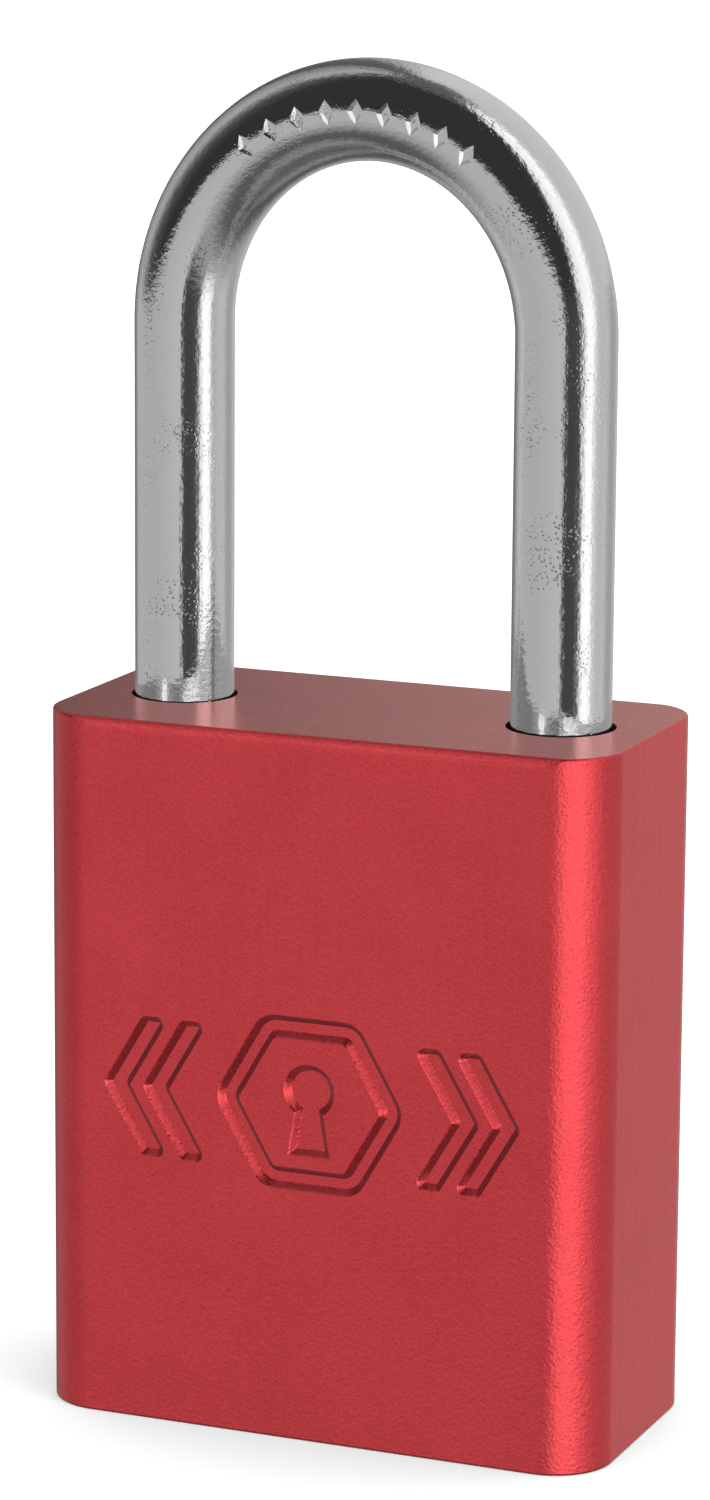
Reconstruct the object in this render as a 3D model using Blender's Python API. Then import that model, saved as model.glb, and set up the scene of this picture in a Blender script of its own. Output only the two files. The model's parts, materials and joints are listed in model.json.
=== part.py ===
"""A keyed safety padlock: a solid aluminium block, a round bar shackle held by two balls, and a pin
cylinder that turns the actuator between the balls.

It stands upright at the origin: +Z up, X across the block, Y through its thickness, front at -Y.
It is modelled closed, with the plug turned to its unlocked position, so both balls are drawn in.
"""
import math

import bmesh
import bpy
from mathutils import Vector

MM = 0.001

# Block
BODY_WIDTH = 38.1 * MM
BODY_DEPTH = 19.05 * MM
BODY_HEIGHT = 45.5 * MM
BODY_CORNER = 3.9 * MM
TOP_BREAK = 0.5 * MM
FOOT_BREAK = 0.25 * MM

# Shackle
BAR_RADIUS = 3.175 * MM
LEG_CENTRES = 25.7 * MM
STRAIGHT_ABOVE = 24.1 * MM
CROWN_RISE = 13.6 * MM
SHACKLE_LIFT = 13.5 * MM
BALL_HEIGHT = BODY_HEIGHT - 7.9 * MM
TOE_END = BALL_HEIGHT - 5.0 * MM
HEEL_END = BALL_HEIGHT - 19.2 * MM
NECK_RADIUS = 2.6 * MM
NECK_TOP = BALL_HEIGHT + 1.4 * MM
END_CHAMFER = 0.6 * MM
HEEL_HOLE_RADIUS = 3.4 * MM
TOE_HOLE_RADIUS = 3.475 * MM
HEEL_HOLE_FLOOR = 5.0 * MM
TOE_HOLE_FLOOR = 29.0 * MM
SPRING_RADIUS = 2.4 * MM
SPRING_WIRE = 0.4 * MM
SPRING_TURNS = 6

# Locking balls
BALL_RADIUS = 3.0 * MM
BALL_LOCKED = 8.0 * MM
HEEL_BALL_OPEN = 7.0 * MM
TOE_BALL_OPEN = 6.5 * MM
BALL_PASSAGE_RADIUS = 3.2 * MM
NOTCH_RADIUS = 3.25 * MM
BALL_SWEEP = math.radians(90)

# Actuator
CAM_RADIUS = 4.85 * MM
CAM_HALF_HEIGHT = 3.3 * MM
CAM_STEM_RADIUS = 4.3 * MM
CAM_STEM_FOOT = 31.4 * MM
TANG_WIDTH = 2.4 * MM
TANG_LENGTH = 6.8 * MM
TANG_FOOT = 29.0 * MM
CAM_POCKET_RADIUS = 5.4 * MM
CAM_POCKET_TOP = BALL_HEIGHT + 3.7 * MM

# Cylinder
GAP = 0.3 * MM
PLUG_RADIUS = 6.0 * MM
PLUG_HEAD_RADIUS = 6.6 * MM
PLUG_FACE = 0.6 * MM
PLUG_HEAD_TOP = 1.9 * MM
PLUG_GROOVE_RADIUS = 3.2 * MM
PLUG_GROOVE_TOP = 28.2 * MM
PLUG_TAIL_RADIUS = 4.0 * MM
PLUG_TAIL_TOP = 31.1 * MM
SHELL_RADIUS = 7.5 * MM
SHELL_BORE = 6.25 * MM
SHELL_COUNTERBORE = 6.85 * MM
SHELL_FACE = 0.4 * MM
SHELL_TOP = 27.1 * MM
LOBE_HALF_WIDTH = 3.3 * MM
LOBE_REACH = 15.5 * MM
BORE_TOP = 28.4 * MM
CLIP_OUTER = 7.0 * MM
CLIP_THICKNESS = 0.6 * MM
CLIP_OPENING = math.radians(110)
COVER_THICKNESS = 0.7 * MM
COVER_HALF_WIDTH = 2.0 * MM

# Pins
PIN_COUNT = 6
FIRST_PIN = 4.2 * MM
PIN_PITCH = 3.6 * MM
PIN_RADIUS = 1.2 * MM
CHAMBER_RADIUS = 1.45 * MM
DRIVER_LENGTH = 3.5 * MM
KEY_PIN_LENGTHS = [length * MM for length in (3.2, 4.1, 3.7, 4.5, 3.4, 3.9)]
KEYWAY_TOP = 24.6 * MM
PIN_SPRING_RADIUS = 0.92 * MM
PIN_SPRING_WIRE = 0.17 * MM
PIN_SPRING_TURNS = 4.5

# Screw that holds the cylinder in
SCREW_HEAD_RADIUS = 2.7 * MM
SCREW_HEAD_TOP = 31.1 * MM
SCREW_SHANK_RADIUS = 1.5 * MM
SCREW_TIP = 25.3 * MM
SCREW_HEX_RADIUS = 1.35 * MM

LEG_X = LEG_CENTRES / 2
CROWN_START = BODY_HEIGHT + STRAIGHT_ABOVE


def clear_scene():
    for old in list(bpy.data.objects):
        bpy.data.objects.remove(old, do_unlink=True)


def material(name, colour, roughness, metallic):
    mat = bpy.data.materials.new(name)
    mat.use_nodes = True
    shader = mat.node_tree.nodes["Principled BSDF"]
    shader.inputs["Base Color"].default_value = (*colour, 1.0)
    shader.inputs["Roughness"].default_value = roughness
    shader.inputs["Metallic"].default_value = metallic
    return mat


# ---- shapes, each a new closed bmesh ----

def circle(radius, sides, centre=(0.0, 0.0), start=0.0):
    turn = 2 * math.pi / sides
    return [(centre[0] + radius * math.cos(start + turn * i),
             centre[1] + radius * math.sin(start + turn * i)) for i in range(sides)]


def rounded_rectangle(width, depth, corner, steps=8):
    points = []
    for quarter, (sx, sy) in enumerate(((1, 1), (-1, 1), (-1, -1), (1, -1))):
        cx = sx * (width / 2 - corner)
        cy = sy * (depth / 2 - corner)
        for step in range(steps + 1):
            angle = math.radians(90 * quarter + 90 * step / steps)
            points.append((cx + corner * math.cos(angle), cy + corner * math.sin(angle)))
    return points


def loft(rings):
    """Join rings of equal length into one closed skin with flat ends."""
    mesh = bmesh.new()
    loops = [[mesh.verts.new(point) for point in ring] for ring in rings]
    for lower, upper in zip(loops, loops[1:]):
        for i in range(len(lower)):
            j = (i + 1) % len(lower)
            mesh.faces.new((lower[i], lower[j], upper[j], upper[i]))
    mesh.faces.new(list(reversed(loops[0])))
    mesh.faces.new(loops[-1])
    bmesh.ops.recalc_face_normals(mesh, faces=mesh.faces[:])
    return mesh


def prism(outline, low, high):
    return loft([[(x, y, z) for x, y in outline] for z in (low, high)])


def turned(profile, sides, centre=(0.0, 0.0)):
    """A solid of revolution about a vertical line, from (radius, height) pairs, low end first."""
    return loft([[(x, y, z) for x, y in circle(r, sides, centre)] for r, z in profile])


def laid_along(mesh, axis, centre):
    """Turn a shape built about +Z so that it runs along axis from centre."""
    turn = Vector((0, 0, 1)).rotation_difference(Vector(axis)).to_matrix().to_4x4()
    bmesh.ops.transform(mesh, matrix=turn, verts=mesh.verts[:])
    bmesh.ops.translate(mesh, vec=centre, verts=mesh.verts[:])
    return mesh


def rod(radius, start, axis, length, sides):
    return laid_along(turned([(radius, 0.0), (radius, length)], sides), axis, start)


def coil(mean_radius, wire_radius, length, turns, per_turn, sides):
    """A round-wire spring along +Z from the origin, its last turn at each end closed up."""
    count = round(turns * per_turn)
    dead = 0.9
    points = []
    for i in range(count + 1):
        turn = i / per_turn
        rise = min(max((turn - dead) / (turns - 2 * dead), 0.0), 1.0)
        flat = 2.1 * wire_radius * (min(turn, dead) + max(turn - (turns - dead), 0.0)) / dead
        height = flat + rise * (length - 2 * wire_radius - 2 * 2.1 * wire_radius) + wire_radius
        angle = 2 * math.pi * turn
        points.append(Vector((mean_radius * math.cos(angle), mean_radius * math.sin(angle), height)))
    rings = []
    for i, point in enumerate(points):
        ahead = points[min(i + 1, count)] - points[max(i - 1, 0)]
        outward = Vector((point.x, point.y, 0)).normalized()
        side = ahead.cross(outward).normalized()
        out = side.cross(ahead).normalized()
        rings.append([point + wire_radius * (out * math.cos(a) + side * math.sin(a))
                      for a in [2 * math.pi * k / sides for k in range(sides)]])
    return loft(rings)


# ---- objects ----

def to_object(name, mesh, mat, pivot=(0.0, 0.0, 0.0)):
    """Make the object with its origin at the pivot, its shape staying where it was built."""
    bmesh.ops.translate(mesh, vec=[-value for value in pivot], verts=mesh.verts[:])
    data = bpy.data.meshes.new(name)
    mesh.to_mesh(data)
    mesh.free()
    data.shade_smooth()
    data.set_sharp_from_angle(angle=math.radians(32))
    data.materials.append(mat)
    made = bpy.data.objects.new(name, data)
    made.location = pivot
    bpy.context.collection.objects.link(made)
    return made


def cut(target, *tools):
    """Take each tool's shape out of the target."""
    for index, tool in enumerate(tools):
        cutter = to_object(f"{target.name}_cutter", tool, target.data.materials[0])
        cutter.hide_render = True
        cutter.display_type = "WIRE"
        change = target.modifiers.new(f"cut_{index}", "BOOLEAN")
        change.operation = "DIFFERENCE"
        change.object = cutter
        bpy.context.view_layer.update()
        shape = bpy.data.meshes.new_from_object(target.evaluated_get(bpy.context.evaluated_depsgraph_get()))
        target.modifiers.remove(change)
        target.data = shape
        bpy.data.objects.remove(cutter, do_unlink=True)
    tidy(target)


def tidy(target):
    """Close up the slivers that a cut leaves, and shade the round faces smooth."""
    mesh = bmesh.new()
    mesh.from_mesh(target.data)
    bmesh.ops.remove_doubles(mesh, verts=mesh.verts[:], dist=0.002 * MM)
    bmesh.ops.dissolve_degenerate(mesh, edges=mesh.edges[:], dist=0.002 * MM)
    mesh.to_mesh(target.data)
    mesh.free()
    target.data.shade_smooth()
    target.data.set_sharp_from_angle(angle=math.radians(32))


# ---- the block ----

def pear(radius, half_width, reach):
    """The cylinder's outline: a round barrel with a straight lobe towards +X."""
    join = math.asin(half_width / radius)
    steps = 28
    span = 2 * math.pi - 2 * join
    arc = [(radius * math.cos(join + span * i / steps), radius * math.sin(join + span * i / steps))
           for i in range(steps + 1)]
    return arc + [(reach, -half_width), (reach, half_width)]


def make_body(mat):
    rings = []
    for inset, height in ((FOOT_BREAK, 0.0), (0.0, FOOT_BREAK), (0.0, BODY_HEIGHT - TOP_BREAK),
                          (TOP_BREAK, BODY_HEIGHT)):
        outline = rounded_rectangle(BODY_WIDTH - 2 * inset, BODY_DEPTH - 2 * inset, BODY_CORNER - inset)
        rings.append([(x, y, height) for x, y in outline])
    body = to_object("lock_body", loft(rings), mat)
    above = BODY_HEIGHT + 1 * MM
    below = -1 * MM
    cylinder_room = pear(SHELL_RADIUS + GAP, LOBE_HALF_WIDTH + GAP, LOBE_REACH + GAP)
    cut(body,
        prism(circle(HEEL_HOLE_RADIUS, 28, (-LEG_X, 0)), HEEL_HOLE_FLOOR, above),
        prism(circle(TOE_HOLE_RADIUS, 28, (LEG_X, 0)), TOE_HOLE_FLOOR, above),
        prism(cylinder_room, below, SHELL_TOP + GAP),
        prism(circle(SHELL_RADIUS + GAP - 0.05 * MM, 36), SHELL_TOP, BORE_TOP),
        prism(circle(CAM_POCKET_RADIUS, 28), BORE_TOP - 0.5 * MM, CAM_POCKET_TOP),
        rod(BALL_PASSAGE_RADIUS, (-LEG_X, 0, BALL_HEIGHT), (1, 0, 0), LEG_CENTRES, 24),
        prism(circle(SCREW_SHANK_RADIUS + GAP, 16, (LEG_X, 0)), SHELL_TOP, TOE_HOLE_FLOOR + 1 * MM))
    return body


# ---- the shackle and its balls ----

def foot_groove(height, widest):
    """Radius of the turned groove that lets the heel ball in when the shackle is up."""
    reach = NOTCH_RADIUS ** 2 - (height - (BALL_HEIGHT - SHACKLE_LIFT)) ** 2
    return min(widest, LEG_X - BALL_LOCKED - math.sqrt(max(reach, 0.0)))


def heel_profile():
    """(radius, height) pairs up the heel leg: end flange, groove, neck, full bar."""
    centre = BALL_HEIGHT - SHACKLE_LIFT
    depth = LEG_X - BALL_LOCKED
    lower = math.sqrt(NOTCH_RADIUS ** 2 - (depth - BAR_RADIUS) ** 2)
    upper = math.sqrt(NOTCH_RADIUS ** 2 - (depth - NECK_RADIUS) ** 2)
    profile = [(BAR_RADIUS - END_CHAMFER, HEEL_END), (BAR_RADIUS, HEEL_END + END_CHAMFER)]
    steps = 8
    for step in range(steps + 1):
        height = centre - lower + (lower + upper) * step / steps
        profile.append((foot_groove(height, BAR_RADIUS), height))
    profile.append((NECK_RADIUS, NECK_TOP))
    profile.append((BAR_RADIUS, NECK_TOP + BAR_RADIUS - NECK_RADIUS))
    return profile


def shackle_rings(sides=24, crown_steps=28):
    path = [(Vector((-LEG_X, 0, z)), Vector((-1, 0, 0)), r) for r, z in heel_profile()]
    for step in range(crown_steps + 1):
        angle = math.pi * (1 - step / crown_steps)
        point = Vector((LEG_X * math.cos(angle), 0, CROWN_START + CROWN_RISE * math.sin(angle)))
        outward = Vector((CROWN_RISE * math.cos(angle), 0, LEG_X * math.sin(angle))).normalized()
        path.append((point, outward, BAR_RADIUS))
    for radius, height in ((BAR_RADIUS, TOE_END + END_CHAMFER), (BAR_RADIUS - END_CHAMFER, TOE_END)):
        path.append((Vector((LEG_X, 0, height)), Vector((1, 0, 0)), radius))
    turn = 2 * math.pi / sides
    return [[point + radius * (outward * math.cos(turn * k) + Vector((0, math.sin(turn * k), 0)))
             for k in range(sides)] for point, outward, radius in path]


def make_shackle(mat):
    shackle = to_object("shackle", loft(shackle_rings()), mat)
    across = 10 * MM
    cut(shackle,
        rod(NOTCH_RADIUS, (-BALL_LOCKED, -across / 2, BALL_HEIGHT), (0, 1, 0), across, 32),
        rod(NOTCH_RADIUS, (BALL_LOCKED, -across / 2, BALL_HEIGHT), (0, 1, 0), across, 32))


def make_ball(name, x, mat):
    mesh = bmesh.new()
    bmesh.ops.create_uvsphere(mesh, u_segments=18, v_segments=10, radius=BALL_RADIUS)
    centre = (x, 0.0, BALL_HEIGHT)
    bmesh.ops.translate(mesh, vec=centre, verts=mesh.verts[:])
    to_object(name, mesh, mat, pivot=centre)


def make_shackle_spring(mat):
    length = HEEL_END - HEEL_HOLE_FLOOR - 2 * GAP
    spring = coil(SPRING_RADIUS, SPRING_WIRE, length, SPRING_TURNS, 10, 6)
    foot = (-LEG_X, 0.0, HEEL_HOLE_FLOOR + GAP)
    bmesh.ops.translate(spring, vec=foot, verts=spring.verts[:])
    to_object("shackle_spring", spring, mat, pivot=foot)


# ---- the actuator ----

def cam_radius(angle):
    """The cam clears each ball all the way round its quarter turn, while the ball moves out."""
    clearance = BALL_RADIUS + 0.15 * MM
    radius = CAM_RADIUS
    steps = 24
    for start, near in ((0.0, TOE_BALL_OPEN), (math.pi, HEEL_BALL_OPEN)):
        for step in range(steps + 1):
            centre = near + (BALL_LOCKED - near) * step / steps
            off = angle - start - BALL_SWEEP * step / steps
            aside = centre * math.sin(off)
            if math.cos(off) > 0 and abs(aside) < clearance:
                radius = min(radius, centre * math.cos(off) - math.sqrt(clearance ** 2 - aside ** 2))
    return radius


def make_actuator(mat):
    sides = 72
    angles = [2 * math.pi * i / sides for i in range(sides)]
    outline = [(cam_radius(a) * math.cos(a), cam_radius(a) * math.sin(a)) for a in angles]
    actuator = to_object("actuator", prism(outline, BALL_HEIGHT - CAM_HALF_HEIGHT,
                                           BALL_HEIGHT + CAM_HALF_HEIGHT), mat)
    weld = 0.2 * MM
    stem_radius = min(CAM_STEM_RADIUS, min(math.hypot(x, y) for x, y in outline) - 0.1 * MM)
    join(actuator,
         prism(circle(stem_radius, 24), CAM_STEM_FOOT, BALL_HEIGHT - CAM_HALF_HEIGHT + weld),
         box((-TANG_LENGTH / 2, -TANG_WIDTH / 2, TANG_FOOT),
             (TANG_LENGTH / 2, TANG_WIDTH / 2, CAM_STEM_FOOT + weld)))


def box(low, high):
    return prism([(low[0], low[1]), (high[0], low[1]), (high[0], high[1]), (low[0], high[1])],
                 low[2], high[2])


def join(target, *tools):
    """Weld each tool's shape to the target."""
    for tool in tools:
        added = to_object(f"{target.name}_added", tool, target.data.materials[0])
        change = target.modifiers.new("weld", "BOOLEAN")
        change.operation = "UNION"
        change.object = added
        bpy.context.view_layer.update()
        shape = bpy.data.meshes.new_from_object(target.evaluated_get(bpy.context.evaluated_depsgraph_get()))
        target.modifiers.remove(change)
        target.data = shape
        bpy.data.objects.remove(added, do_unlink=True)
    tidy(target)


# ---- the pin cylinder ----

def pin_height(index):
    return FIRST_PIN + PIN_PITCH * index


def make_shell(mat):
    shell = to_object("cylinder_shell", prism(pear(SHELL_RADIUS, LOBE_HALF_WIDTH, LOBE_REACH),
                                              SHELL_FACE, SHELL_TOP), mat)
    cover_seat = LOBE_REACH - COVER_THICKNESS - 2 * GAP
    chambers = [rod(CHAMBER_RADIUS, (SHELL_BORE - 1 * MM, 0, pin_height(i)), (1, 0, 0), 12 * MM, 16)
                for i in range(PIN_COUNT)]
    cut(shell,
        prism(circle(SHELL_BORE, 36), SHELL_FACE - 1 * MM, SHELL_TOP + 1 * MM),
        prism(circle(SHELL_COUNTERBORE, 36), SHELL_FACE - 1 * MM, PLUG_HEAD_TOP + GAP),
        box((cover_seat, -COVER_HALF_WIDTH - GAP, pin_height(0) - 2 * MM - GAP),
            (LOBE_REACH + 1 * MM, COVER_HALF_WIDTH + GAP, pin_height(PIN_COUNT - 1) + 2 * MM)),
        prism(circle(SCREW_SHANK_RADIUS + GAP, 16, (LEG_X, 0)), SCREW_TIP - GAP, SHELL_TOP + 1 * MM),
        *chambers)


def keyway():
    """The keyway's outline in the turned plug: the pins' side at +Y, two ribs on each side."""
    wide = 0.95 * MM
    narrow = 0.4 * MM
    right = [(wide, -4.7), (wide, -3.5), (narrow, -3.1), (narrow, -2.5), (wide, -2.1), (wide, 0.3),
             (narrow, 0.7), (narrow, 1.3), (wide, 1.7), (wide, 4.2)]
    left = [(wide, 4.2), (wide, -0.3), (narrow, -0.7), (narrow, -1.5), (wide, -1.9), (wide, -4.7)]
    return [(x, y * MM) for x, y in right] + [(-x, y * MM) for x, y in left]


def make_plug(mat):
    plug = to_object("plug", turned([(PLUG_HEAD_RADIUS, PLUG_FACE), (PLUG_HEAD_RADIUS, PLUG_HEAD_TOP),
                                     (PLUG_RADIUS, PLUG_HEAD_TOP), (PLUG_RADIUS, SHELL_TOP),
                                     (PLUG_GROOVE_RADIUS, SHELL_TOP), (PLUG_GROOVE_RADIUS, PLUG_GROOVE_TOP),
                                     (PLUG_TAIL_RADIUS, PLUG_GROOVE_TOP), (PLUG_TAIL_RADIUS, PLUG_TAIL_TOP)],
                                    36), mat)
    chambers = [rod(CHAMBER_RADIUS, (0, 0.8 * MM, pin_height(i)), (0, 1, 0), 7 * MM, 16)
                for i in range(PIN_COUNT)]
    cut(plug,
        prism(keyway(), PLUG_FACE - 1 * MM, KEYWAY_TOP),
        box((-2 * PLUG_TAIL_RADIUS, -TANG_WIDTH / 2 - GAP, TANG_FOOT - GAP),
            (2 * PLUG_TAIL_RADIUS, TANG_WIDTH / 2 + GAP, PLUG_TAIL_TOP + 1 * MM)),
        *chambers)


def make_clip(mat):
    """An open ring round the plug's tail, which keeps the plug from dropping out."""
    inner = PLUG_GROOVE_RADIUS + GAP
    steps = 24
    span = 2 * math.pi - CLIP_OPENING
    angles = [CLIP_OPENING / 2 + span * i / steps for i in range(steps + 1)]
    outline = [(CLIP_OUTER * math.cos(a), CLIP_OUTER * math.sin(a)) for a in angles]
    outline += [(inner * math.cos(a), inner * math.sin(a)) for a in reversed(angles)]
    low = SHELL_TOP + GAP
    to_object("plug_clip", prism(outline, low, low + CLIP_THICKNESS), mat)


def make_cover(mat):
    outer = LOBE_REACH - GAP
    to_object("chamber_cover", box((outer - COVER_THICKNESS, -COVER_HALF_WIDTH, pin_height(0) - 2 * MM),
                                   (outer, COVER_HALF_WIDTH, pin_height(PIN_COUNT - 1) + 2 * MM - GAP)), mat)


def make_screw(mat):
    head_foot = TOE_HOLE_FLOOR + GAP
    screw = to_object("cylinder_screw", turned(
        [(SCREW_SHANK_RADIUS - 0.4 * MM, SCREW_TIP), (SCREW_SHANK_RADIUS, SCREW_TIP + 0.4 * MM),
         (SCREW_SHANK_RADIUS, head_foot), (SCREW_HEAD_RADIUS, head_foot),
         (SCREW_HEAD_RADIUS, SCREW_HEAD_TOP - 0.3 * MM), (SCREW_HEAD_RADIUS - 0.3 * MM, SCREW_HEAD_TOP)],
        20, (LEG_X, 0)), mat)
    cut(screw, prism(circle(SCREW_HEX_RADIUS, 6, (LEG_X, 0)), SCREW_HEAD_TOP - 1.2 * MM,
                     SCREW_HEAD_TOP + 1 * MM))


def make_pin(name, tip, axis, length, taper, mat):
    """A round pin along axis from its tip, tapered by that much at the tip and eased at its far end."""
    ease = 0.25 * MM
    mesh = turned([(PIN_RADIUS - taper, 0.0), (PIN_RADIUS, taper), (PIN_RADIUS, length - ease),
                   (PIN_RADIUS - ease, length)], 14)
    to_object(name, laid_along(mesh, axis, tip), mat)


def make_pins(brass, steel):
    outer_end = PLUG_RADIUS - GAP
    driver_tip = PLUG_RADIUS + GAP + 0.1 * MM
    spring_foot = driver_tip + DRIVER_LENGTH + GAP
    spring_length = LOBE_REACH - 2 * GAP - COVER_THICKNESS - spring_foot
    for index, length in enumerate(KEY_PIN_LENGTHS):
        height = pin_height(index)
        number = index + 1
        make_pin(f"key_pin_{number}", (0, outer_end - length, height), (0, 1, 0), length, 0.75 * MM, brass)
        make_pin(f"driver_pin_{number}", (driver_tip, 0, height), (1, 0, 0), DRIVER_LENGTH, 0.2 * MM, brass)
        spring = coil(PIN_SPRING_RADIUS, PIN_SPRING_WIRE, spring_length, PIN_SPRING_TURNS, 8, 4)
        to_object(f"pin_spring_{number}", laid_along(spring, (1, 0, 0), (spring_foot, 0, height)), steel)


def main():
    clear_scene()
    red = material("red_anodised_aluminium", (0.50, 0.035, 0.045), 0.42, 0.9)
    chrome = material("chrome_plated_steel", (0.82, 0.83, 0.84), 0.12, 1.0)
    steel = material("plain_steel", (0.55, 0.56, 0.58), 0.30, 1.0)
    brass = material("brass", (0.72, 0.55, 0.26), 0.30, 1.0)
    make_body(red)
    make_shackle(chrome)
    make_shackle_spring(steel)
    make_ball("heel_ball", -HEEL_BALL_OPEN, steel)
    make_ball("toe_ball", TOE_BALL_OPEN, steel)
    make_actuator(steel)
    make_shell(brass)
    make_plug(brass)
    make_clip(steel)
    make_cover(brass)
    make_screw(steel)
    make_pins(brass, steel)


main()
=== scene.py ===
"""Looks for the keyed safety padlock: a red anodised block, a chrome bar shackle and its lock works."""
import json
import math

import bmesh
import bpy
from mathutils import Matrix, Vector


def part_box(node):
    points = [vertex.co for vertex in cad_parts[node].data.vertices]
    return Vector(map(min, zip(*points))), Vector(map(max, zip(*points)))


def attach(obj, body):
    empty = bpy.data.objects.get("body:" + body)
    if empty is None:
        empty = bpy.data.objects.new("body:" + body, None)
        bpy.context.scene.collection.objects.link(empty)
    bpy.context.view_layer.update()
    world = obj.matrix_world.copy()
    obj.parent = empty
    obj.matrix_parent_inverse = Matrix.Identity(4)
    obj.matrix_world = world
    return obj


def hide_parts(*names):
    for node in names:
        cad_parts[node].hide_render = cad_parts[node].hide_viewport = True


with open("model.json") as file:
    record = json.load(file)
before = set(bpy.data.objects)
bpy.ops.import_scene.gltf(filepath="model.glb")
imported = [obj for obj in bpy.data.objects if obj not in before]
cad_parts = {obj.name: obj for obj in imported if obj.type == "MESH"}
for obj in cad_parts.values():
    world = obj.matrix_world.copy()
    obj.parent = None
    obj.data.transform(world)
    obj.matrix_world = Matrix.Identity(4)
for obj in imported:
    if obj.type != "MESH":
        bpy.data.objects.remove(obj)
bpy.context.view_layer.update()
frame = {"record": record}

MM = 0.001

# Sizes read from the frame
BLOCK_LOW, BLOCK_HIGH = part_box("lock_body")
BLOCK_WIDTH = BLOCK_HIGH.x - BLOCK_LOW.x
BLOCK_DEPTH = BLOCK_HIGH.y - BLOCK_LOW.y
BLOCK_HEIGHT = BLOCK_HIGH.z
BAR_LOW, BAR_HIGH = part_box("shackle")
BAR_RADIUS = (BAR_HIGH.y - BAR_LOW.y) / 2
LEG_X = BAR_HIGH.x - BAR_RADIUS
HEEL_BALL_LOW, HEEL_BALL_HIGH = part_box("heel_ball")
BALL_HEIGHT = (HEEL_BALL_LOW.z + HEEL_BALL_HIGH.z) / 2

# Block
CORNER = 3.9 * MM
ROLL_HEIGHT = 0.85 * MM
ROLL_DEPTH = 0.34 * MM
SIDE_BREAK = 0.16 * MM
CORNER_STEPS = 20
EDGE_STEPS = 12
HEEL_HOLE_RADIUS = 3.4 * MM
TOE_HOLE_RADIUS = 3.475 * MM
HEEL_HOLE_FLOOR = 5.0 * MM
TOE_HOLE_FLOOR = 29.0 * MM
SHELL_ROOM_RADIUS = 7.8 * MM
LOBE_ROOM_HALF = 3.6 * MM
LOBE_ROOM_REACH = 15.8 * MM
LOBE_ROOM_TOP = 27.4 * MM
SHELL_ROOM_TOP = 28.4 * MM
CAM_ROOM_RADIUS = 5.4 * MM
CAM_ROOM_TOP = BALL_HEIGHT + 3.7 * MM
BALL_PASSAGE_RADIUS = 3.2 * MM
SCREW_HOLE_RADIUS = 1.8 * MM

# Emblem pressed into the front: a keyhole in a six-sided frame, and chevrons beside it
EMBLEM_HEIGHT = 22.0 * MM
EMBLEM_DEPTH = 0.42 * MM
FRAME_OUTER = 6.3 * MM
FRAME_OUTER_ROUNDING = 1.5 * MM
FRAME_INNER = 5.0 * MM
FRAME_INNER_ROUNDING = 0.6 * MM
CHEVRON_ROUNDING = 0.34 * MM
# keyhole in millimetres: radius, half the foot's width and the foot's height, and how far it is lifted
KEYHOLE = (1.55, 1.25, -4.1)
KEYHOLE_LIFT = 0.9
# chevrons in millimetres: distances from the middle, then stroke, reach of the point and half height
CHEVRON_STARTS = (7.2, 9.9)
CHEVRON_SHAPE = (1.45, 2.6, 4.4)

# Shackle
STRAIGHT_TOP = BLOCK_HEIGHT + 24.1 * MM
CROWN_RISE = BAR_HIGH.z - BAR_RADIUS - STRAIGHT_TOP
LIFT = 13.5 * MM
BALL_LOCKED = 8.0 * MM
NOTCH_RADIUS = 3.25 * MM
NECK_RADIUS = 2.6 * MM
NECK_TOP = BALL_HEIGHT + 1.4 * MM
END_CHAMFER = 0.6 * MM
TOE_END = BALL_HEIGHT - 5.0 * MM
MARK_COUNT = 9
MARK_STEP = math.radians(8.6)
MARK_TILT = math.radians(2)
MARK_HALF_LONG = 0.95 * MM
MARK_HALF_WIDE = 0.52 * MM
MARK_DEPTH = 0.22 * MM

# Lock works
GAP = 0.3 * MM
BALL_RADIUS = (HEEL_BALL_HIGH.z - HEEL_BALL_LOW.z) / 2
HEEL_BALL_OPEN = 7.0 * MM
TOE_BALL_OPEN = 6.5 * MM
CAM_RADIUS = 4.85 * MM
CAM_CLEARANCE = 0.15 * MM
CAM_HALF_HEIGHT = 3.3 * MM
CAM_STEM_RADIUS = 4.3 * MM
CAM_STEM_FOOT = 31.4 * MM
TANG_WIDTH = 2.4 * MM
TANG_LENGTH = 6.8 * MM
TANG_FOOT = 29.0 * MM
PLUG_RADIUS = 6.0 * MM
PLUG_HEAD_RADIUS = 6.6 * MM
PLUG_FACE = 0.6 * MM
PLUG_HEAD_TOP = 1.9 * MM
PLUG_GROOVE_RADIUS = 3.2 * MM
PLUG_GROOVE_TOP = 28.2 * MM
PLUG_TAIL_RADIUS = 4.0 * MM
PLUG_TAIL_TOP = 31.1 * MM
SHELL_RADIUS = 7.5 * MM
SHELL_BORE = 6.25 * MM
SHELL_COUNTERBORE = 6.85 * MM
SHELL_FACE = 0.4 * MM
SHELL_TOP = 27.1 * MM
LOBE_HALF_WIDTH = 3.3 * MM
LOBE_REACH = 15.5 * MM
CLIP_OUTER = 7.0 * MM
CLIP_THICKNESS = 0.6 * MM
CLIP_OPENING = math.radians(110)
CLIP_HOLE_ANGLE = 0.16
CLIP_HOLE_SHARE = 0.35
CLIP_EDGE = 0.06 * MM
COVER_THICKNESS = 0.7 * MM
COVER_HALF_WIDTH = 2.0 * MM
PIN_COUNT = 6
FIRST_PIN = 4.2 * MM
PIN_PITCH = 3.6 * MM
PIN_RADIUS = 1.2 * MM
PIN_EASE = 0.25 * MM
KEY_PIN_TAPER = 0.75 * MM
DRIVER_PIN_TAPER = 0.2 * MM
CHAMBER_RADIUS = 1.45 * MM
KEYWAY_TOP = 24.6 * MM
SCREW_HEAD_RADIUS = 2.7 * MM
SCREW_HEAD_TOP = 31.1 * MM
SCREW_SHANK_RADIUS = 1.5 * MM
SCREW_TIP = 25.3 * MM
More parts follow.
